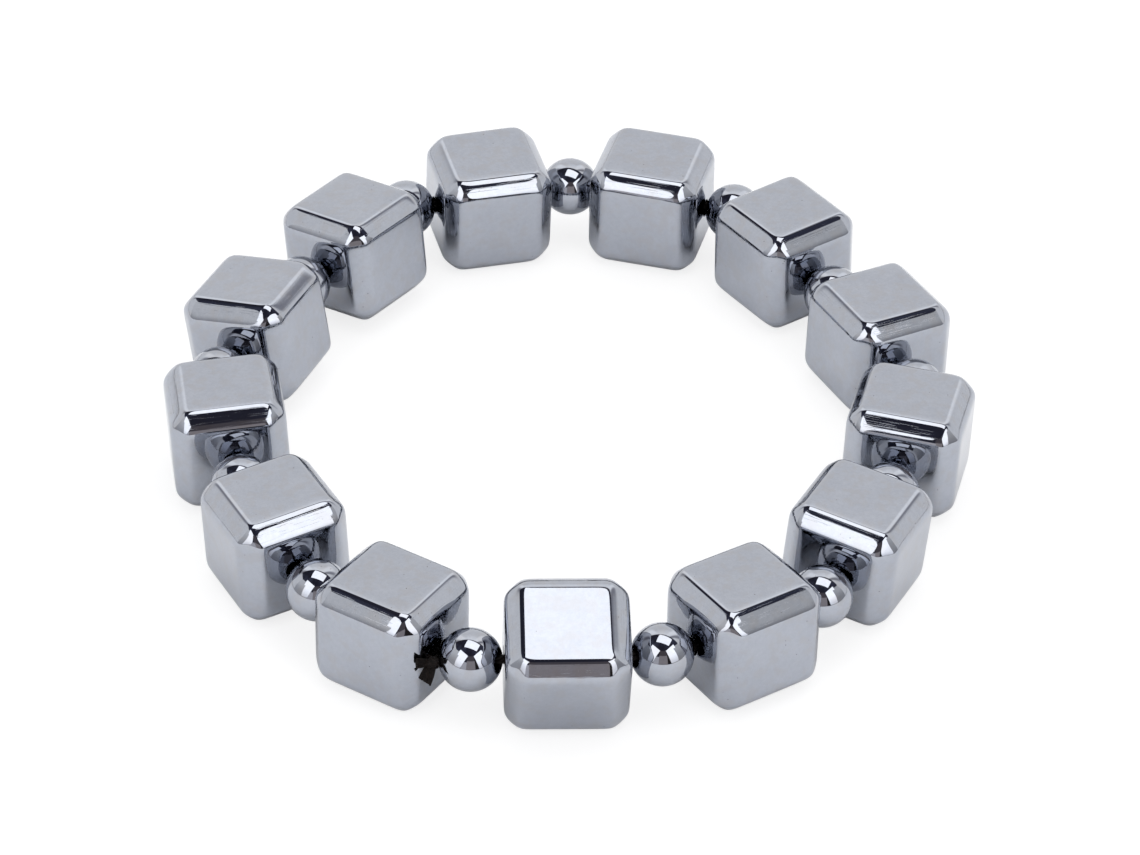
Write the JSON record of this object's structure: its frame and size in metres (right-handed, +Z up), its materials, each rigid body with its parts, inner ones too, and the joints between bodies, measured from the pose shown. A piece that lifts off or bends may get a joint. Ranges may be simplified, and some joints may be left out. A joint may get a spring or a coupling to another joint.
{
  "type": "beaded stretch bracelet",
  "caption": "Stretch bracelet of polished chamfered cube beads and small round spacer beads, alternating on a knotted elastic cord.",
  "frame": {"origin": "centre of the bounding box, on the surface the bracelet lies on", "axes": "+Z up, through the wrist opening; +Y from the front cube bead to the back, along the oval's longer way; +X to the picture's right"},
  "size_m": [0.0692, 0.0792, 0.0113],
  "materials": {
    "polished_stone": "mirror polished grey stone",
    "elastic": "matte dark multi-strand elastic"
  },
  "bodies": {
    "root": {"cube_bead_01": "polished_stone", "cube_bead_02": "polished_stone", "cube_bead_03": "polished_stone", "cube_bead_04": "polished_stone", "cube_bead_05": "polished_stone", "cube_bead_06": "polished_stone", "cube_bead_07": "polished_stone", "cube_bead_08": "polished_stone", "cube_bead_09": "polished_stone", "cube_bead_10": "polished_stone", "cube_bead_11": "polished_stone", "cube_bead_12": "polished_stone", "cube_bead_13": "polished_stone", "round_bead_01": "polished_stone", "round_bead_02": "polished_stone", "round_bead_03": "polished_stone", "round_bead_04": "polished_stone", "round_bead_05": "polished_stone", "round_bead_06": "polished_stone", "round_bead_07": "polished_stone", "round_bead_08": "polished_stone", "round_bead_09": "polished_stone", "round_bead_10": "polished_stone", "round_bead_11": "polished_stone", "round_bead_12": "polished_stone", "round_bead_13": "polished_stone", "elastic_cord": "elastic", "cord_knot": "elastic"}
  },
  "joints": []
}
